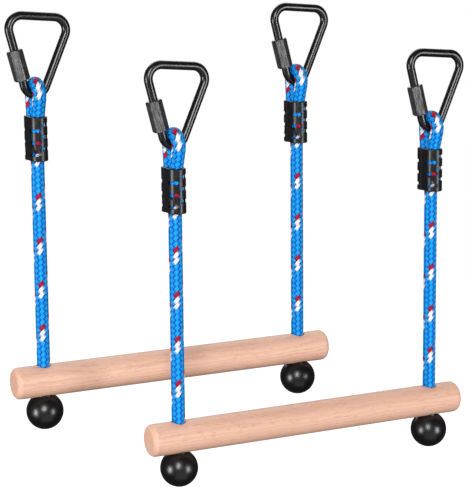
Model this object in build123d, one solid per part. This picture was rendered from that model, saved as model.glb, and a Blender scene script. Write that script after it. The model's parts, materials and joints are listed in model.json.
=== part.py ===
from build123d import *

import os
from math import acos, atan2, cos, pi, radians, sin, tan

# Two trapeze bars that hang side by side from an overhead line, the front one lower.
# Each bar is a beech dowel hung from two ropes. A rope ends above in an eye, held by a
# moulded ferrule and hooked in a triangular screw link, and below in a ball under the bar.
# X runs along the bars to the right, Y away from the front, Z up. Millimetres throughout.
# The origin is the seat of the rear left link: the middle of its top rod's underside.

# ---- driving dimensions -------------------------------------------------------------
ROPE_DIAMETER = 12.0
ROPE_SPACING = 270.0

BAR_DIAMETER = 30.0
BAR_LENGTH = 330.0
BAR_END_ROUNDING = 5.0
BAR_HOLE_DIAMETER = 14.0
BAR_AXIS_BELOW_PIVOT = 267.9

LINK_ROD_DIAMETER = 8.0
LINK_BOTTOM_BEND = 11.0
LINK_TOP_BEND = 12.0
LINK_HEIGHT = 71.0
LINK_LEG_ANGLE = 19.0
LINK_LEAN = 4.5

GAP_START = 9.0
GAP_END = 20.5
NUT_START = 5.5
NUT_LENGTH = 28.5
NUT_ACROSS_FLATS = 13.0
NUT_CHAMFER = 1.2
NUT_CLEARANCE = 0.05
NUT_TURN = 8.0

EYE_CLEARANCE = 0.4
FERRULE_TOP = -19.6
FERRULE_LENGTH = 40.7
FERRULE_LOBE_DIAMETER = 16.8
FERRULE_WAIST = 15.2
FERRULE_OFFSET = 2.0
FERRULE_ROUNDING = 0.9
FERRULE_GRIP_GAP = 0.05
FERRULE_MOUTH = 0.5
STRAND_GAP = 0.8
TAIL_END_ABOVE_MOUTH = 15.0
SHIFT_TOP_ABOVE_MOUTH = 12.0
SHIFT_END_ABOVE_MOUTH = 4.0

WINDOW_COUNT = 3
WINDOW_PITCH = 11.0
WINDOW_HEIGHT = 3.4
WINDOW_WIDTH = 11.5
WINDOW_BITE = 3.0
WINDOW_TURN = 45.0
LOWEST_WINDOW_ABOVE_MOUTH = 6.0

HINGE_BELOW_FERRULE = 3.7
HINGE_ABOVE_BAR = 3.0
SEAT_CLEARANCE = 0.3

BALL_DIAMETER = 35.0
BALL_FLAT_ABOVE_CENTRE = 15.0
BALL_GAP = 0.3
BALL_SEAT_DIAMETER = 21.0
BALL_SEAT_DEPTH = 1.0
BALL_NECK_DIAMETER = 16.4
BALL_NECK_HEIGHT = 2.4
BALL_NECK_CLEARANCE = 0.4
BALL_EASING = 0.5
BALL_BORE_CLEARANCE = 0.3
BALL_POCKET_DIAMETER = 20.0
BALL_POCKET_BELOW_CENTRE = 2.5

SLEEVE_DIAMETER = 18.0
SLEEVE_LENGTH = 8.0
SLEEVE_ROUNDING = 1.0
SLEEVE_GRIP_GAP = 0.05
ROPE_PAST_SLEEVE = 0.7

PLUG_BELOW_CENTRE = 12.0
PLUG_CLEARANCE = 0.05

UNIT_SHIFT_X = 92.0
UNIT_SHIFT_Y = -100.0
UNIT_SHIFT_Z = -42.0

# ---- heights and places that follow from them, for one hanger whose link rod is at z 0
ROPE_RADIUS = ROPE_DIAMETER / 2
ROD_RADIUS = LINK_ROD_DIAMETER / 2
BAR_RADIUS = BAR_DIAMETER / 2
BALL_RADIUS = BALL_DIAMETER / 2
LOBE_RADIUS = FERRULE_LOBE_DIAMETER / 2
SLEEVE_RADIUS = SLEEVE_DIAMETER / 2
EYE_RADIUS = ROD_RADIUS + EYE_CLEARANCE + ROPE_RADIUS
STRAND_OFFSET = ROPE_RADIUS + STRAND_GAP / 2
FERRULE_MOUTH_Z = FERRULE_TOP - FERRULE_LENGTH
UPPER_HINGE_Z = FERRULE_MOUTH_Z - HINGE_BELOW_FERRULE
BAR_Z = -BAR_AXIS_BELOW_PIVOT
LOWER_HINGE_Z = BAR_Z + BAR_RADIUS + HINGE_ABOVE_BAR
BALL_TOP_Z = BAR_Z - BAR_RADIUS + BALL_SEAT_DEPTH - BALL_GAP
BALL_Z = BALL_TOP_Z - BALL_FLAT_ABOVE_CENTRE
POCKET_TOP_Z = BALL_Z - BALL_POCKET_BELOW_CENTRE
SLEEVE_TOP_Z = POCKET_TOP_Z - BALL_GAP
SLEEVE_BOTTOM_Z = SLEEVE_TOP_Z - SLEEVE_LENGTH
ROPE_BOTTOM_Z = SLEEVE_BOTTOM_Z - ROPE_PAST_SLEEVE

LEG = radians(LINK_LEG_ANGLE)
SEAT_RISE = LINK_HEIGHT - ROD_RADIUS - LINK_BOTTOM_BEND
SEAT_X = SEAT_RISE * sin(radians(LINK_LEAN))
SEAT_Z = LINK_BOTTOM_BEND + SEAT_RISE * cos(radians(LINK_LEAN))


# ---- link and nut -------------------------------------------------------------------
def leg_point(distance):
    """A point on the upright link's left leg, a distance up from where its bottom bend ends."""
    across = LINK_BOTTOM_BEND * cos(LEG) + distance * sin(LEG)
    up = LINK_BOTTOM_BEND * (1 - sin(LEG)) + distance * cos(LEG)
    return Vector(-across, 0, up)


def lean(shape):
    """The link hangs a little askew: it turns about the centre of its bottom bend."""
    centre = Pos(0, 0, LINK_BOTTOM_BEND)
    return centre * Rot(0, LINK_LEAN, 0) * centre.inverse() * shape


def round_bar(path, radius):
    """A round section carried along a path."""
    return sweep(Plane(origin=path @ 0, z_dir=path % 0) * Circle(radius), path=path)


def link():
    """One steel rod bent into a triangle, point down, with a gap in its left leg."""
    point_z = LINK_BOTTOM_BEND * (1 - 1 / sin(LEG))
    half_width = (LINK_HEIGHT - point_z) * tan(LEG)
    path = FilletPolyline(
        leg_point(GAP_START),
        (0, 0, point_z),
        (half_width, 0, LINK_HEIGHT),
        (-half_width, 0, LINK_HEIGHT),
        leg_point(GAP_END),
        radius=(LINK_BOTTOM_BEND, LINK_TOP_BEND, LINK_TOP_BEND),
    )
    return lean(round_bar(path, ROD_RADIUS))


def nut():
    """The long hexagon nut over the gap, with both ends chamfered round."""
    corner_radius = NUT_ACROSS_FLATS / 2 / cos(pi / 6)
    blank = extrude(RegularPolygon(corner_radius, 6, rotation=NUT_TURN), NUT_LENGTH)
    turned = Pos(0, 0, NUT_LENGTH / 2) * Cylinder(corner_radius, NUT_LENGTH)
    turned = chamfer(turned.edges().filter_by(GeomType.CIRCLE), NUT_CHAMFER)
    bore = Pos(0, 0, NUT_LENGTH / 2) * Cylinder(ROD_RADIUS + NUT_CLEARANCE, NUT_LENGTH)
    leg = Plane(origin=leg_point(NUT_START), x_dir=(0, -1, 0), z_dir=(-sin(LEG), 0, cos(LEG)))
    return lean(leg * ((blank & turned) - bore))


# ---- rope and ferrule ---------------------------------------------------------------
def tangent_point(y, z, turn):
    """Where a line from a point below meets the eye's circle; turn is -1 or 1 for its side."""
    span = Vector(0, y, z).length
    angle = atan2(z, y) + turn * acos(EYE_RADIUS / span)
    return Vector(0, EYE_RADIUS * cos(angle), EYE_RADIUS * sin(angle))


def eye_path():
    """The rope's centreline: tail, loop round the link's rod, then the standing part."""
    standing_y = FERRULE_OFFSET - STRAND_OFFSET
    tail_y = FERRULE_OFFSET + STRAND_OFFSET
    tail_meets = tangent_point(tail_y, FERRULE_TOP, 1)
    standing_meets = tangent_point(standing_y, FERRULE_TOP, -1)
    tail = FilletPolyline(
        (0, tail_y, FERRULE_MOUTH_Z + TAIL_END_ABOVE_MOUTH),
        (0, tail_y, FERRULE_TOP),
        tail_meets,
        radius=3 * ROPE_DIAMETER,
    )
    loop = ThreePointArc(tail_meets, (0, 0, EYE_RADIUS), standing_meets)
    standing = FilletPolyline(
        standing_meets,
        (0, standing_y, FERRULE_TOP),
        (0, standing_y, FERRULE_MOUTH_Z + SHIFT_TOP_ABOVE_MOUTH),
        (0, 0, FERRULE_MOUTH_Z + SHIFT_END_ABOVE_MOUTH),
        (0, 0, UPPER_HINGE_Z),
        radius=(3 * ROPE_DIAMETER, ROPE_DIAMETER, ROPE_DIAMETER),
    )
    return Wire(tail.edges() + [loop.edge()] + standing.edges())


def hinge_seat(height):
    """The hollow that the rounded end of the hanging rope turns in."""
    return Pos(0, 0, height) * Sphere(ROPE_RADIUS + SEAT_CLEARANCE)


def rope_eye():
    """The rope above its upper bend, from the tail through the eye to below the ferrule."""
    return round_bar(eye_path(), ROPE_RADIUS) - hinge_seat(UPPER_HINGE_Z)


def window(lobe_y, turn):
    """A slot through one lobe's wall, turned about the lobe's axis from facing -Y."""
    depth = LOBE_RADIUS - ROPE_RADIUS + WINDOW_BITE
    slot = Pos(0, depth / 2 - LOBE_RADIUS, 0) * Box(WINDOW_WIDTH, depth, WINDOW_HEIGHT)
    return Pos(0, lobe_y, 0) * Rot(0, 0, turn) * slot


def ferrule():
    """Plastic moulded over the two strands: two lobes with a waist, and rows of windows."""
    front_y = FERRULE_OFFSET - STRAND_OFFSET
    back_y = FERRULE_OFFSET + STRAND_OFFSET
    outline = Pos(0, front_y) * Circle(LOBE_RADIUS) + Pos(0, back_y) * Circle(LOBE_RADIUS)
    outline += Pos(0, FERRULE_OFFSET) * Rectangle(FERRULE_WAIST, back_y - front_y)
    body = Pos(0, 0, FERRULE_MOUTH_Z) * extrude(outline, FERRULE_LENGTH)
    rims = body.faces().filter_by(Axis.Z).edges()
    body = fillet(rims, FERRULE_ROUNDING)
    body -= round_bar(eye_path(), ROPE_RADIUS + FERRULE_GRIP_GAP)
    mouth = Cone(ROPE_RADIUS + FERRULE_MOUTH, ROPE_RADIUS, 2 * FERRULE_MOUTH)
    body -= Pos(0, 0, FERRULE_MOUTH_Z + FERRULE_MOUTH) * mouth

    left = window(front_y, -WINDOW_TURN) + window(back_y, WINDOW_TURN - 180)
    right = window(front_y, WINDOW_TURN) + window(back_y, 180 - WINDOW_TURN)
    for row in range(WINDOW_COUNT):
        height = FERRULE_MOUTH_Z + LOWEST_WINDOW_ABOVE_MOUTH + row * WINDOW_PITCH
        body -= Pos(0, 0, height) * left
        body -= Pos(0, 0, height + WINDOW_PITCH / 2) * right
    return body


def rope():
    """The hanging rope between its two bends, with both ends rounded."""
    length = UPPER_HINGE_Z - LOWER_HINGE_Z
    middle = (UPPER_HINGE_Z + LOWER_HINGE_Z) / 2
    span = Pos(0, 0, middle) * Cylinder(ROPE_RADIUS, length)
    for height in (UPPER_HINGE_Z, LOWER_HINGE_Z):
        span += Pos(0, 0, height) * Sphere(ROPE_RADIUS)
    return span


def rope_end():
    """The rope's end, through the bar, the ball and the sleeve."""
    length = LOWER_HINGE_Z - ROPE_BOTTOM_Z
    end = Pos(0, 0, ROPE_BOTTOM_Z + length / 2) * Cylinder(ROPE_RADIUS, length)
    return end - hinge_seat(LOWER_HINGE_Z)


# ---- ball, plug, sleeve and bar -----------------------------------------------------
def ball():
    """A ball with a flat top and a neck into the bar, bored for the rope and its sleeve."""
    above = Pos(0, 0, BALL_FLAT_ABOVE_CENTRE + BALL_RADIUS) * Box(*[BALL_DIAMETER] * 3)
    pocket_z = -BALL_POCKET_BELOW_CENTRE - BALL_RADIUS / 2
    pocket = Pos(0, 0, pocket_z) * Cylinder(BALL_POCKET_DIAMETER / 2, BALL_RADIUS)
    bore = Cylinder(ROPE_RADIUS + BALL_BORE_CLEARANCE, 2 * BALL_DIAMETER)
    body = Sphere(BALL_RADIUS) - above - pocket
    top_rim = body.edges().filter_by(GeomType.CIRCLE).sort_by(Axis.Z)[-1]
    body = fillet(top_rim, BALL_EASING)
    neck_z = BALL_FLAT_ABOVE_CENTRE + BALL_NECK_HEIGHT / 2
    body += Pos(0, 0, neck_z) * Cylinder(BALL_NECK_DIAMETER / 2, BALL_NECK_HEIGHT)
    body -= bore
    return Pos(0, 0, BALL_Z) * body


def ball_plug():
    """The plug pressed into the pocket from below, which completes the ball."""
    plug = Pos(0, 0, -PLUG_BELOW_CENTRE - BALL_RADIUS / 2)
    plug *= Cylinder(BALL_POCKET_DIAMETER / 2 - PLUG_CLEARANCE, BALL_RADIUS)
    return Pos(0, 0, BALL_Z) * (Sphere(BALL_RADIUS) & plug)


def stop_sleeve():
    """The metal sleeve crimped on the rope's end, which the ball rests on."""
    body = Cylinder(SLEEVE_RADIUS, SLEEVE_LENGTH)
    body = fillet(body.edges().filter_by(GeomType.CIRCLE), SLEEVE_ROUNDING)
    body -= Cylinder(ROPE_RADIUS + SLEEVE_GRIP_GAP, SLEEVE_LENGTH)
    return Pos(0, 0, (SLEEVE_TOP_Z + SLEEVE_BOTTOM_Z) / 2) * body


def bar():
    """The dowel, its middle at x 0: rounded ends, and per rope a hole and a ball's seat."""
    neck_top = BAR_RADIUS - BALL_SEAT_DEPTH + BALL_GAP - BALL_NECK_HEIGHT
    neck_hole_radius = BALL_NECK_DIAMETER / 2 + BALL_NECK_CLEARANCE
    neck_hole_depth = BAR_RADIUS - neck_top + BALL_NECK_CLEARANCE
    body = Rot(0, 90, 0) * Cylinder(BAR_RADIUS, BAR_LENGTH)
    body = fillet(body.edges().filter_by(GeomType.CIRCLE), BAR_END_ROUNDING)
    for x in (-ROPE_SPACING / 2, ROPE_SPACING / 2):
        body -= Pos(x, 0, 0) * Cylinder(BAR_HOLE_DIAMETER / 2, 2 * BAR_DIAMETER)
        body -= Pos(x, 0, -BAR_RADIUS) * Cylinder(BALL_SEAT_DIAMETER / 2, 2 * BALL_SEAT_DEPTH)
        body -= Pos(x, 0, -BAR_RADIUS) * Cylinder(neck_hole_radius, 2 * neck_hole_depth)
    return Pos(0, 0, BAR_Z) * body


# ---- the two units ------------------------------------------------------------------
HANGER_PIECES = {
    "link": link(),
    "nut": nut(),
    "rope_eye": rope_eye(),
    "ferrule": ferrule(),
    "rope": rope(),
    "rope_end": rope_end(),
    "ball": ball(),
    "ball_plug": ball_plug(),
    "stop_sleeve": stop_sleeve(),
}
SIDES = {"left": -ROPE_SPACING / 2, "right": ROPE_SPACING / 2}

REAR_MIDDLE = Pos(ROPE_SPACING / 2 - SEAT_X, 0, -SEAT_Z)
FRONT_MIDDLE = Pos(UNIT_SHIFT_X, UNIT_SHIFT_Y, UNIT_SHIFT_Z) * REAR_MIDDLE
UNITS = {"rear": REAR_MIDDLE, "front": FRONT_MIDDLE}

os.makedirs("parts", exist_ok=True)
for unit, middle in UNITS.items():
    export_step(middle * bar(), f"parts/{unit}_bar.step")
    for side, x in SIDES.items():
        for piece, shape in HANGER_PIECES.items():
            export_step(middle * Pos(x, 0, 0) * shape, f"parts/{unit}_{side}_{piece}.step")
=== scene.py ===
import json
import math

import bpy
import numpy as np
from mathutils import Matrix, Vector


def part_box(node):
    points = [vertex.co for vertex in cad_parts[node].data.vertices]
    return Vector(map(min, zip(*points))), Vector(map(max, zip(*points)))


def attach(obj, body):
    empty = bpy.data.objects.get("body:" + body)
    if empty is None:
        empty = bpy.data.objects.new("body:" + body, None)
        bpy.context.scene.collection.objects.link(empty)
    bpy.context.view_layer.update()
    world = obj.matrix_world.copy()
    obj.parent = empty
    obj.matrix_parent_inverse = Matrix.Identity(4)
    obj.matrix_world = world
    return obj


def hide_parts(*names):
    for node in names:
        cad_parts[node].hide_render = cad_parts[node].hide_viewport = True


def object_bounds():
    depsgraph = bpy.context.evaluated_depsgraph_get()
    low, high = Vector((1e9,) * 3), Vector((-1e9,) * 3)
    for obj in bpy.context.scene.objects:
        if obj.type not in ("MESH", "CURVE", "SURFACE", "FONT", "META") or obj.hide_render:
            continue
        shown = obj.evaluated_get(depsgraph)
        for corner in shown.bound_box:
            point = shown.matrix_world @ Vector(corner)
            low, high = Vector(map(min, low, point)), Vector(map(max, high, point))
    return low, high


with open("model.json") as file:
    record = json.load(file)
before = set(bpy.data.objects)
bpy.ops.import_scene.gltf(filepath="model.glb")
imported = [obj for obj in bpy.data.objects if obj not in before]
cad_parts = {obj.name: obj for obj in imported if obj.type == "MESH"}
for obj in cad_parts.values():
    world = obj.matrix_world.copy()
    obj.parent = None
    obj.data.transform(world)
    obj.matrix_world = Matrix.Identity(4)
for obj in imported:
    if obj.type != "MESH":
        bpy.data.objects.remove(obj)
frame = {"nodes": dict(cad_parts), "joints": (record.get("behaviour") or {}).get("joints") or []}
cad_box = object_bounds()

# Two hanging trapeze bars. The steel, plastic and wooden pieces are the CAD nodes with
# materials of their own. The ropes are braided meshes that replace the plain CAD ropes.

MM = 0.001
UNITS = ("rear", "front")
SIDES = ("left", "right")
HANGERS = [f"{unit}_{side}" for unit in UNITS for side in SIDES]
nodes = frame["nodes"]
joints = {joint["name"]: joint for joint in frame["joints"]}


# ---- places, from the frame ---------------------------------------------------------
def middle(node):
    """The centre of a node's box."""
    low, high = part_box(node)
    return (Vector(low) + Vector(high)) / 2


def unit_of(hanger):
    """The bar that a hanger belongs to, rear or front."""
    return hanger.split("_")[0]


def upper_hinge(hanger):
    """Where the rope bends below its ferrule."""
    return Vector(joints[f"{hanger}_rope_sway"]["pos_m"])


def lower_hinge(hanger):
    """Where the rope bends above the bar."""
    unit = unit_of(hanger)
    level = joints[f"{unit}_bar_level"]["pos_m"][2]
    x, y, _ = upper_hinge(hanger)
    return Vector((x, y, level))


# ---- material helpers ---------------------------------------------------------------
OBJECT_SPACE = 3  # output of a Texture Coordinate node: object coordinates
MIX_COLOURS = (6, 7)  # inputs of a Mix node: its two colours
MIX_RESULT = 2  # output of a Mix node: the blended colour


class Recipe:
    """A new material with its Principled shader, and short calls that add nodes to it."""

    def __init__(self, name, **settings):
        self.material = bpy.data.materials.new(name)
        self.material.use_nodes = True
        self.tree = self.material.node_tree
        self.shader = self.tree.nodes["Principled BSDF"]
        for socket, value in settings.items():
            self.shader.inputs[socket.replace("_", " ")].default_value = value

    def add(self, kind, output=0, **inputs):
        """Adds a node and returns one output. An input that is an output gets a link."""
        node = self.tree.nodes.new(kind)
        for name, value in inputs.items():
            if hasattr(node, name):
                setattr(node, name, value)
                continue
            key = int(name[1:]) if name[1:].isdigit() else name.replace("_", " ")
            self.put(node.inputs[key], value)
        return node.outputs[output]

    def put(self, socket, value):
        """Links an output to a socket, or sets the socket's own value."""
        if isinstance(value, bpy.types.NodeSocket):
            self.tree.links.new(value, socket)
        else:
            socket.default_value = value

    def math(self, operation, first, second=0.0):
        return self.add("ShaderNodeMath", operation=operation, i0=first, i1=second)

    def coordinates(self, scale, rotation=(0, 0, 0)):
        """Object coordinates, turned and then stretched."""
        source = self.add("ShaderNodeTexCoord", output=OBJECT_SPACE)
        turned = self.add("ShaderNodeMapping", Vector=source, Rotation=rotation)
        return self.add("ShaderNodeMapping", Vector=turned, Scale=scale)

    def noise(self, vector, scale, detail=3.0, roughness=0.5):
        return self.add(
            "ShaderNodeTexNoise", Vector=vector, Scale=scale, Detail=detail, Roughness=roughness
        )

    def spread(self, value, low, high, to_low, to_high):
        """Maps a value from one range to another, held at its ends."""
        return self.add(
            "ShaderNodeMapRange",
            Value=value,
            From_Min=low,
            From_Max=high,
            To_Min=to_low,
            To_Max=to_high,
        )

    def mix(self, factor, first, second, blend_type="MIX"):
        """Blends two colours."""
        node = self.tree.nodes.new("ShaderNodeMix")
        node.data_type = "RGBA"
        node.blend_type = blend_type
        self.put(node.inputs["Factor"], factor)
        for number, value in zip(MIX_COLOURS, (first, second)):
            self.put(node.inputs[number], (*value, 1.0) if isinstance(value, tuple) else value)
        return node.outputs[MIX_RESULT]

    def bump(self, height, strength, distance):
        """Raises the surface's shading by a height map. The distance is in metres."""
        normal = self.add(
            "ShaderNodeBump", Height=height, Strength=strength, Distance=distance
        )
        self.put(self.shader.inputs["Normal"], normal)

    def use(self, **sockets):
        """Sets or links the shader's sockets, and gives the finished material."""
        for socket, value in sockets.items():
            self.put(self.shader.inputs[socket.replace("_", " ")], value)
        return self.material


# ---- materials ----------------------------------------------------------------------
EVEN = (1, 1, 1)
NUT_LEG_TILT = math.radians(14.5)
PITH_BEHIND = 30.0 * MM
PITH_BELOW = 42.0 * MM
RINGS_PER_METRE = 420.0
RING_WANDER = 3.2
# painted shade between the rope's fibres: the factor that darkens its colour there
SHADE_BETWEEN_FIBRES = (0.48, 0.54, 0.72)


def black_steel():
    """Gloss black powder coat: a faint orange peel, a few dull rubbed patches."""
    coat, worn = (0.003, 0.003, 0.0035), (0.009, 0.009, 0.01)
    recipe = Recipe("black_steel", Specular_IOR_Level=0.42)
    place = recipe.coordinates(EVEN)
    peel = recipe.noise(place, scale=900, detail=2)
    patches = recipe.noise(place, scale=160, detail=5, roughness=0.62)
    rubbed = recipe.spread(patches, 0.52, 0.7, 0.0, 1.0)
    colour = recipe.mix(rubbed, coat, worn)
    recipe.bump(peel, strength=0.01, distance=0.00003)
    return recipe.use(Base_Color=colour, Roughness=recipe.spread(rubbed, 0, 1, 0.26, 0.3))


def nut_steel():
    """Satin dark nut with fine lines along its length, and darker clouds."""
    groove, ridge, stain = (0.03, 0.03, 0.031), (0.36, 0.36, 0.365), (0.05, 0.05, 0.051)
    recipe = Recipe("nut_steel", Metallic=1.0)
    place = recipe.coordinates((1, 1, 0.04), rotation=(0, NUT_LEG_TILT, 0))
    lines = recipe.noise(place, scale=2600, detail=3, roughness=0.7)
    cloud = recipe.noise(recipe.coordinates(EVEN), scale=210, detail=4, roughness=0.6)
    shade = recipe.mix(recipe.spread(lines, 0.35, 0.65, 0, 1), groove, ridge)
    colour = recipe.mix(recipe.spread(cloud, 0.35, 0.7, 0, 0.5), shade, stain)
    recipe.bump(lines, strength=0.25, distance=0.00015)
    return recipe.use(Base_Color=colour, Roughness=recipe.spread(lines, 0.3, 0.7, 0.36, 0.46))


def ferrule_plastic():
    """Black moulded plastic with a fine satin texture and soft scuffs."""
    clean, scuffed = (0.004, 0.0038, 0.004), (0.012, 0.0115, 0.012)
    recipe = Recipe("ferrule_plastic", Specular_IOR_Level=0.3)
    place = recipe.coordinates(EVEN)
    grain = recipe.noise(place, scale=2400, detail=2)
    patches = recipe.noise(place, scale=240, detail=5, roughness=0.65)
    scuff = recipe.spread(patches, 0.5, 0.72, 0.0, 1.0)
    colour = recipe.mix(scuff, clean, scuffed)
    recipe.bump(grain, strength=0.06, distance=0.00006)
    return recipe.use(Base_Color=colour, Roughness=recipe.spread(scuff, 0, 1, 0.33, 0.44))


def ball_plastic():
    """Polished black plastic with hairline marks."""
    polished, scratched = (0.002, 0.002, 0.0024), (0.014, 0.014, 0.015)
    recipe = Recipe("ball_plastic", Specular_IOR_Level=0.46)
    patches = recipe.noise(recipe.coordinates(EVEN), scale=70, detail=4, roughness=0.6)
    haze = recipe.spread(patches, 0.42, 0.68, 0.0, 1.0)
    slanted = recipe.coordinates((1, 0.06, 1), rotation=(0.4, 0.3, 0.9))
    hair = recipe.noise(slanted, scale=1500, detail=3, roughness=0.7)
    marks = recipe.spread(hair, 0.66, 0.74, 0.0, 1.0)
    colour = recipe.mix(recipe.math("MULTIPLY", marks, 0.4), polished, scratched)
    recipe.bump(hair, strength=0.012, distance=0.00004)
    return recipe.use(Base_Color=colour, Roughness=recipe.spread(haze, 0, 1, 0.3, 0.35))


def sleeve_metal():
    """Aluminium with fine lines along its length."""
    groove, ridge = (0.48, 0.48, 0.49), (0.75, 0.75, 0.76)
    recipe = Recipe("sleeve_metal", Metallic=1.0)
    place = recipe.coordinates((1, 1, 0.08))
    lines = recipe.noise(place, scale=1800, detail=3, roughness=0.7)
    colour = recipe.mix(lines, groove, ridge)
    recipe.bump(lines, strength=0.2, distance=0.0001)
    return recipe.use(Base_Color=colour, Roughness=recipe.spread(lines, 0.3, 0.7, 0.28, 0.45))


def beech(unit):
    """Steamed beech: rings round an off-centre pith, soft streaks, and short ray flecks."""
    early_wood, late_wood = (0.6, 0.36, 0.262), (0.515, 0.287, 0.204)
    light_streak, dark_cloud = (0.645, 0.4, 0.298), (0.52, 0.292, 0.213)
    fleck_brown = (0.29, 0.145, 0.09)
    recipe = Recipe(f"beech_{unit}", Specular_IOR_Level=0.35)
    centre = middle(f"{unit}_bar")
    source = recipe.add("ShaderNodeTexCoord", output=OBJECT_SPACE)
    pith = (0, -centre.y - PITH_BEHIND, -centre.z + PITH_BELOW)
    along = recipe.add("ShaderNodeMapping", Vector=source, Location=pith)
    drawn = recipe.add("ShaderNodeMapping", Vector=along, Scale=(0.16, 1, 1))
    wander = recipe.noise(drawn, scale=46, detail=3, roughness=0.55)
    split = recipe.tree.nodes.new("ShaderNodeSeparateXYZ")
    recipe.put(split.inputs[0], along)
    across = recipe.math("MULTIPLY", split.outputs[1], split.outputs[1])
    upward = recipe.math("MULTIPLY", split.outputs[2], split.outputs[2])
    radius = recipe.math("SQRT", recipe.math("ADD", across, upward))
    rings = recipe.math("MULTIPLY", radius, RINGS_PER_METRE)
    bent = recipe.math("ADD", rings, recipe.math("MULTIPLY", wander, RING_WANDER))
    ring = recipe.math("FRACT", bent)
    late = recipe.spread(ring, 0.35, 1.0, 0.0, 1.0)

    fine, short = recipe.coordinates((0.03, 1, 1)), recipe.coordinates((0.1, 1, 1))
    streaks = recipe.noise(fine, scale=900, detail=4, roughness=0.65)
    flecks = recipe.noise(short, scale=1500, detail=1, roughness=0.4)
    fleck = recipe.spread(flecks, 0.63, 0.7, 0.0, 1.0)
    cloud = recipe.noise(recipe.coordinates((0.25, 1, 1)), scale=30)

    wood = recipe.mix(late, early_wood, late_wood)
    wood = recipe.mix(recipe.spread(streaks, 0.35, 0.7, 0.0, 0.55), wood, light_streak)
    wood = recipe.mix(recipe.spread(cloud, 0.35, 0.7, 0.0, 0.45), wood, dark_cloud)
    wood = recipe.mix(recipe.math("MULTIPLY", fleck, 0.42), wood, fleck_brown)
    relief = recipe.math("SUBTRACT", streaks, recipe.math("MULTIPLY", fleck, 0.8))
    recipe.bump(relief, strength=0.16, distance=0.0002)
    return recipe.use(Base_Color=wood, Roughness=recipe.spread(streaks, 0.3, 0.7, 0.5, 0.66))


def braid_material():
    """Polyester braid: each yarn's colour, fine fibres along it, painted shade between fibres
    and between yarns.
    """
    recipe = Recipe("rope", Specular_IOR_Level=0.1)
    # the "yarn" colour layer holds the yarn colours with their painted shade
    colour = recipe.add("ShaderNodeVertexColor", layer_name="yarn")
    yarn = recipe.add("ShaderNodeUVMap", uv_map="yarn")
    stretched = recipe.add("ShaderNodeMapping", Vector=yarn, Scale=(9, 0.8, 1))
    fibres = recipe.noise(stretched, scale=1.6, detail=3, roughness=0.6)
    fuzz = recipe.noise(recipe.coordinates(EVEN), scale=1300, detail=3, roughness=0.6)
    # painted shade: the yarn colour darkened in the gaps between fibres
    dark = recipe.mix(1.0, colour, SHADE_BETWEEN_FIBRES, "MULTIPLY")
    shade = recipe.mix(recipe.spread(fibres, 0.3, 0.62, 0.0, 1.0), dark, colour)
    relief = recipe.math("ADD", fibres, recipe.math("MULTIPLY", fuzz, 0.5))
    recipe.bump(relief, strength=0.35, distance=0.00025)
    return recipe.use(Base_Color=shade, Roughness=recipe.spread(fuzz, 0.3, 0.7, 0.55, 0.75))


# ---- braided rope -------------------------------------------------------------------
ROPE_RADIUS = 6.3 * MM
BRAID_RELIEF = 0.68 * MM
BRAID_TURN = 41.0 * MM
STRANDS_EACH_WAY = 8
ROUND_STEPS = 80
ROW_STEP = 0.65 * MM
TRACER_BELOW_HINGE = 29.0 * MM
TRACER_ANGLE = math.radians(110)
FIRST_PHASE = 3.0
SECOND_PHASE = 0.5
CROSSING_SHARE = 0.55
YARN_SHARE = 0.45
YARN_ROUNDING = 0.6
SHADOW_LEVEL = 0.45
LIT_LEVEL = 0.9
# painted shade: the factor that darkens the first family's yarns where they lie on top
FIRST_FAMILY_SHADE = 0.74
TRACER_IN_SHADOW = 0.45
BRAID_SLIP = 24.0 * MM
CAP_INSET = 0.8 * MM
CAP_LEVELS = tuple(math.radians(degrees) for degrees in (8, 30, 50, 70))
FLAT_CAP_SCALE = 0.97
EASING_PASSES = 30

BLUE = (0.01, 0.48, 0.98)
BLUE_SHADOW = (0.0, 0.04, 0.34)
RED = (0.42, 0.008, 0.02)
WHITE = (0.86, 0.87, 0.88)
TRACERS = {0: RED, 7: WHITE, 6: WHITE}


def weave(angle, length):
    """The braid's surface at an angle round the rope and a length along it.

    Two families of eight strands wind opposite ways, each over two and under two, and
    each strand is two yarns side by side. Gives the relief from 0 to 1, the yarn's
    colour with painted shade (dark in the low places between yarns, and darker where the
    first family lies on top), and a place across and along the strand.
    """
    turn = STRANDS_EACH_WAY * (angle - TRACER_ANGLE) / (2 * math.pi)
    rise = STRANDS_EACH_WAY * length / BRAID_TURN
    first = turn + rise + FIRST_PHASE
    second = turn - rise + SECOND_PHASE
    first_strand, second_strand = np.floor(first), np.floor(second)
    over_first = np.sin(math.pi / 2 * (first_strand + second))
    over_second = -np.sin(math.pi / 2 * (second_strand + first))

    def yarns(place):
        """The two rounded yarns across one strand."""
        return np.abs(np.sin(2 * math.pi * place)) ** YARN_ROUNDING

    first_height = CROSSING_SHARE * over_first + YARN_SHARE * yarns(first - first_strand)
    second_height = CROSSING_SHARE * over_second + YARN_SHARE * yarns(second - second_strand)
    on_top = second_height > first_height
    height = np.where(on_top, second_height, first_height)
    across = np.where(on_top, second - second_strand, first - first_strand)
    along = np.where(on_top, first, second)
    strand = np.mod(second_strand, STRANDS_EACH_WAY).astype(int)

    # painted shade: the low places between the yarns run from BLUE towards BLUE_SHADOW
    lit = np.clip((height - SHADOW_LEVEL) / (LIT_LEVEL - SHADOW_LEVEL), 0, 1)[..., None]
    colour = np.array(BLUE_SHADOW) * (1 - lit) + np.array(BLUE) * lit
    # painted shade: yarns of the first family are darker where they lie on top
    colour = colour * np.where(on_top, 1.0, FIRST_FAMILY_SHADE)[..., None]
    # painted shade on the tracer yarns too, darker in the low places between yarns
    shade = TRACER_IN_SHADOW + (1 - TRACER_IN_SHADOW) * lit
    for number, tint in TRACERS.items():
        here = on_top & (strand == number)
        colour[here] = (np.array(tint) * shade)[here]
    return np.clip(height, 0, 1), colour, np.stack([across, along], -1)


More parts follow.
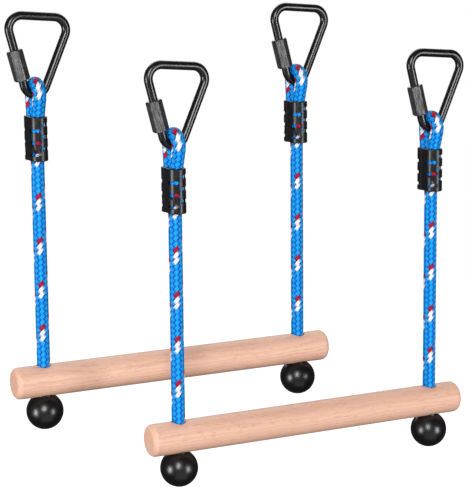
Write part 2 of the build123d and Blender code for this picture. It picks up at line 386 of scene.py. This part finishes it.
def eased_route(points):
    """Points about ROW_STEP apart along a route, its corners eased."""
    points = np.array([tuple(point) for point in points])
    for spacing in (ROW_STEP / 2, ROW_STEP):
        gaps = np.linalg.norm(np.diff(points, axis=0), axis=1)
        reach = np.concatenate([[0], np.cumsum(gaps)])
        count = max(3, int(round(reach[-1] / spacing)) + 1)
        places = np.linspace(0, reach[-1], count)
        points = np.stack([np.interp(places, reach, points[:, k]) for k in range(3)], 1)
        if spacing < ROW_STEP:
            for _ in range(EASING_PASSES):
                points[1:-1] = (points[:-2] + 2 * points[1:-1] + points[2:]) / 4
    return points


def braid(name, route, start, rounded=(True, True), slip=None):
    """A closed braided tube along a route that lies in a plane square to X.

    start is the rope's length at the route's first point, so the braid runs on from one
    piece into the next. rounded tells which ends are domed. slip is two distances from
    the route's end: the braid is drawn out between them, so that the pattern before
    them is BRAID_SLIP further on.
    """
    centres = eased_route(route)
    gaps = np.linalg.norm(np.diff(centres, axis=0), axis=1)
    reach = np.concatenate([[0], np.cumsum(gaps)])
    lengths = reach + start
    if slip:
        from_end = reach[-1] - reach
        lengths += BRAID_SLIP * np.clip((from_end - slip[0]) / (slip[1] - slip[0]), 0, 1)
    tangents = np.gradient(centres, reach, axis=0)
    tangents /= np.linalg.norm(tangents, axis=1)[:, None]
    outward = np.stack([np.zeros(len(reach)), tangents[:, 2], -tangents[:, 1]], 1)

    angles = np.linspace(0, 2 * math.pi, ROUND_STEPS, endpoint=False)
    round_grid, length_grid = np.meshgrid(angles, lengths)
    height = weave(round_grid, length_grid)[0]
    radius = ROPE_RADIUS - BRAID_RELIEF * (1 - height)
    side = np.array([1.0, 0.0, 0.0])
    rings = (
        centres[:, None]
        + (radius * np.cos(round_grid))[..., None] * side
        + (radius * np.sin(round_grid))[..., None] * outward[:, None]
    )
    rings = rings.reshape(-1, 3)

    vertices = [rings]
    faces = []
    rows = len(reach)
    column = np.arange(ROUND_STEPS)
    following = (column + 1) % ROUND_STEPS
    for row in range(rows - 1):
        low, high = row * ROUND_STEPS, (row + 1) * ROUND_STEPS
        corners = [low + column, low + following, high + following, high + column]
        faces.append(np.stack(corners, 1))
    quads = np.concatenate(faces)
    triangles = []

    total = len(rings)
    cap_radius = ROPE_RADIUS - CAP_INSET
    for end, is_round in zip((0, rows - 1), rounded):
        away = tangents[end] * (-1 if end == 0 else 1)
        inner = end * ROUND_STEPS + column
        levels = CAP_LEVELS if is_round else (0.0,)
        for level in levels:
            flat = math.cos(level) * cap_radius * (1 if is_round else FLAT_CAP_SCALE)
            centre = centres[end] + away * math.sin(level) * cap_radius
            ring = (
                centre
                + flat * np.cos(angles)[:, None] * side
                + flat * np.sin(angles)[:, None] * outward[end]
            )
            vertices.append(ring)
            outer = total + column
            strip = np.stack([inner, outer, total + following, np.roll(inner, -1)], 1)
            quads = np.concatenate([quads, strip if end == 0 else strip[:, ::-1]])
            inner = outer
            total += ROUND_STEPS
        tip = centres[end] + away * (cap_radius if is_round else 0.0)
        vertices.append(tip[None])
        fan = np.stack([inner, np.full(ROUND_STEPS, total), np.roll(inner, -1)], 1)
        triangles.append(fan if end == 0 else fan[:, ::-1])
        total += 1

    mesh = bpy.data.meshes.new(name)
    triangles = np.concatenate(triangles)
    polygons = quads[:, ::-1].tolist() + triangles[:, ::-1].tolist()
    mesh.from_pydata(np.concatenate(vertices).tolist(), [], polygons)
    mesh.validate()
    paint_yarns_and_shade(mesh, centres, tangents, outward, lengths)
    mesh.polygons.foreach_set("use_smooth", [True] * len(mesh.polygons))
    piece = bpy.data.objects.new(name, mesh)
    bpy.context.scene.collection.objects.link(piece)
    piece.data.materials.append(ROPE_MATERIAL)
    return piece


def paint_yarns_and_shade(mesh, centres, tangents, outward, lengths):
    """Gives each face the colour of the yarn at its middle, with its painted shade, and its
    place on the strand.
    """
    face_count = len(mesh.polygons)
    middles = np.empty(face_count * 3)
    mesh.polygons.foreach_get("center", middles)
    middles = middles.reshape(-1, 3)
    first_corner = np.empty(face_count, int)
    mesh.polygons.foreach_get("loop_start", first_corner)
    corner_vertices = np.empty(len(mesh.loops), int)
    mesh.loops.foreach_get("vertex_index", corner_vertices)
    row = np.clip(corner_vertices[first_corner] // ROUND_STEPS, 0, len(lengths) - 2)
    offset = middles - centres[row]
    slide = np.einsum("ij,ij->i", offset, tangents[row])
    angle = np.arctan2(np.einsum("ij,ij->i", offset, outward[row]), offset[:, 0])
    _, colour, place = weave(angle, lengths[row] + slide)

    corners = np.empty(face_count, int)
    mesh.polygons.foreach_get("loop_total", corners)
    rgba = np.concatenate([colour, np.ones((face_count, 1))], 1)
    # the "yarn" colour layer holds the yarn colours with their painted shade
    layer = mesh.color_attributes.new("yarn", "FLOAT_COLOR", "CORNER")
    layer.data.foreach_set("color", np.repeat(rgba, corners, axis=0).ravel())
    uv = mesh.uv_layers.new(name="yarn")
    uv.data.foreach_set("uv", np.repeat(place, corners, axis=0).ravel())


# ---- ropes --------------------------------------------------------------------------
EYE_RADIUS = 10.4 * MM
STRAND_OFFSET = 6.4 * MM
FERRULE_OFFSET = 2.0 * MM
TAIL_ABOVE_MOUTH = 15.0 * MM
SHIFT_TOP_ABOVE_MOUTH = 12.0 * MM
SHIFT_END_ABOVE_MOUTH = 4.0 * MM
LOOP_STEPS = 40


def eye_route(hanger):
    """Tail, loop round the link's rod, and standing part, down to the upper hinge."""
    pivot = Vector(joints[f"{unit_of(hanger)}_swing"]["pos_m"])
    hinge = upper_hinge(hanger)
    pivot.x = hinge.x
    mouth, top = (corner[2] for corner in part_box(f"{hanger}_ferrule"))
    standing = FERRULE_OFFSET - STRAND_OFFSET
    tail = FERRULE_OFFSET + STRAND_OFFSET

    def leaves(y, turn):
        """The angle at which a strand at this y leaves the loop."""
        drop = top - pivot.z
        return math.atan2(drop, y) + turn * math.acos(EYE_RADIUS / math.hypot(y, drop))

    first, last = leaves(tail, 1), leaves(standing, -1) + 2 * math.pi
    loop = [
        pivot + EYE_RADIUS * Vector((0, math.cos(angle), math.sin(angle)))
        for angle in np.linspace(first, last, LOOP_STEPS)
    ]
    start = [
        Vector((hinge.x, pivot.y + tail, mouth + TAIL_ABOVE_MOUTH)),
        Vector((hinge.x, pivot.y + tail, top)),
    ]
    finish = [
        Vector((hinge.x, pivot.y + standing, top)),
        Vector((hinge.x, pivot.y + standing, mouth + SHIFT_TOP_ABOVE_MOUTH)),
        Vector((hinge.x, pivot.y, mouth + SHIFT_END_ABOVE_MOUTH)),
        hinge,
    ]
    return start + loop + finish


def route_length(route):
    """The length of a route once its corners are eased."""
    points = eased_route(route)
    return float(np.linalg.norm(np.diff(points, axis=0), axis=1).sum())


def make_rope(hanger):
    """The three braided pieces of one hanger, on the bodies of the CAD ropes they replace."""
    unit = unit_of(hanger)
    top, bottom = upper_hinge(hanger), lower_hinge(hanger)
    low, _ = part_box(f"{hanger}_rope_end")
    end = Vector((top.x, top.y, low[2]))
    eye = eye_route(hanger)
    zero = -TRACER_BELOW_HINGE

    mouth, ferrule_top = (corner[2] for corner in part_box(f"{hanger}_ferrule"))
    hidden = (mouth - top.z, ferrule_top - top.z)
    start = zero - route_length(eye)
    piece = braid(f"{hanger}_braided_eye", eye, start, rounded=(False, True), slip=hidden)
    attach(piece, f"{unit}_hangers")
    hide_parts(f"{hanger}_rope_eye")

    piece = braid(f"{hanger}_braided_rope", [top, (top + bottom) / 2, bottom], zero)
    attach(piece, f"{hanger}_rope")
    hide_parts(f"{hanger}_rope")

    length = (top - bottom).length
    down = [bottom, (bottom + end) / 2, end]
    piece = braid(f"{hanger}_braided_end", down, zero + length, rounded=(True, False))
    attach(piece, f"{unit}_bar")
    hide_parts(f"{hanger}_rope_end")


# ---- camera, light and stage --------------------------------------------------------
CAMERA_AZIMUTH = math.radians(-26.39)
CAMERA_ELEVATION = math.radians(10.19)
CAMERA_DISTANCE = 1.675
CAMERA_LENS = 129.7
CAMERA_ROLL = math.radians(-0.6)
AIM_OFFSET = Vector((-8.1, 2.4, -8.0)) * MM
LIGHT_DISTANCE = 2.2
LIGHTS = (  # name, azimuth and elevation in degrees, size in metres, power in watts
    ("left", -80, -6, (0.6, 0.9), 39),
    ("front", -30, 22, (0.68, 0.95), 44),
    ("right", 29, -5, (0.6, 0.9), 32),
    ("above", 166, 42, (2.4, 2.0), 54),  # above and behind
    ("below", -12, -38, (2.6, 2.0), 11),  # below and in front
)
FILL = 0.07
FLOOR_GLOW = 1.1
STAGE_DROP = 1.3
STAGE_SIZE = 12.0


def object_centre():
    """The centre of the CAD at rest."""
    low, high = (Vector(corner) for corner in cad_box)
    return (low + high) / 2


def direction(azimuth, elevation):
    """The unit vector to an azimuth and elevation in radians. Azimuth 0 is the front."""
    return Vector((
        math.sin(azimuth) * math.cos(elevation),
        -math.cos(azimuth) * math.cos(elevation),
        math.sin(elevation),
    ))


def make_camera():
    """A long lens at the front left, a little above the middle of the object."""
    back = direction(CAMERA_AZIMUTH, CAMERA_ELEVATION)
    data = bpy.data.cameras.new("camera")
    data.lens = CAMERA_LENS
    camera = bpy.data.objects.new("camera", data)
    camera.location = object_centre() + AIM_OFFSET + back * CAMERA_DISTANCE
    turn = back.to_track_quat("Z", "Y").to_euler()
    turn.rotate_axis("Z", CAMERA_ROLL)
    camera.rotation_euler = turn
    bpy.context.scene.collection.objects.link(camera)
    bpy.context.scene.camera = camera


def make_light(name, azimuth, elevation, size, power):
    """A soft box that faces the object from an azimuth and elevation in degrees."""
    away = direction(math.radians(azimuth), math.radians(elevation))
    data = bpy.data.lights.new(name, "AREA")
    data.shape = "RECTANGLE"
    data.size, data.size_y = size
    data.energy = power
    lamp = bpy.data.objects.new(name, data)
    lamp.location = object_centre() + away * LIGHT_DISTANCE
    lamp.rotation_euler = away.to_track_quat("Z", "Y").to_euler()
    bpy.context.scene.collection.objects.link(lamp)


def make_stage():
    """A pale floor that glows, well below the bars, and a plain surround.

    The surround is white to the camera and FILL to every other ray. The floor neither
    lights the bars nor shows in them.
    """
    low = Vector(cad_box[0])
    centre = object_centre()
    mesh = bpy.data.meshes.new("floor")
    half = STAGE_SIZE / 2
    corners = [(-half, -half), (half, -half), (half, half), (-half, half)]
    floor_z = low.z - STAGE_DROP
    mesh.from_pydata(
        [(centre.x + x, centre.y + y, floor_z) for x, y in corners], [], [(0, 1, 2, 3)]
    )
    floor = bpy.data.objects.new("floor", mesh)
    bpy.context.scene.collection.objects.link(floor)
    floor.visible_glossy = floor.visible_diffuse = False
    recipe = Recipe("floor", Roughness=0.9, Specular_IOR_Level=0.1, Emission_Strength=FLOOR_GLOW)
    grain = recipe.noise(recipe.coordinates(EVEN), scale=3)
    pale = recipe.mix(grain, (0.93, 0.93, 0.93), (0.96, 0.96, 0.96))
    floor.data.materials.append(recipe.use(Base_Color=pale, Emission_Color=pale))

    world = bpy.data.worlds.new("studio")
    world.use_nodes = True
    tree = world.node_tree
    seen = tree.nodes.new("ShaderNodeLightPath").outputs["Is Camera Ray"]
    strength = tree.nodes.new("ShaderNodeMapRange")
    strength.inputs["To Min"].default_value = FILL
    tree.links.new(seen, strength.inputs["Value"])
    sky = tree.nodes["Background"]
    sky.inputs["Color"].default_value = (1, 1, 1, 1)
    tree.links.new(strength.outputs["Result"], sky.inputs["Strength"])
    bpy.context.scene.world = world
    bpy.context.scene.view_settings.view_transform = "Standard"


# ---- making -------------------------------------------------------------------------
ROPE_MATERIAL = braid_material()

make_camera()
make_stage()
for light in LIGHTS:
    make_light(*light)

FINISHES = {
    "link": black_steel(),
    "nut": nut_steel(),
    "ferrule": ferrule_plastic(),
    "ball": ball_plastic(),
    "ball_plug": ball_plastic(),
    "stop_sleeve": sleeve_metal(),
}
for hanger in HANGERS:
    make_rope(hanger)
    for piece, material in FINISHES.items():
        nodes[f"{hanger}_{piece}"].material_slots[0].material = material
for unit in UNITS:
    nodes[f"{unit}_bar"].material_slots[0].material = beech(unit)
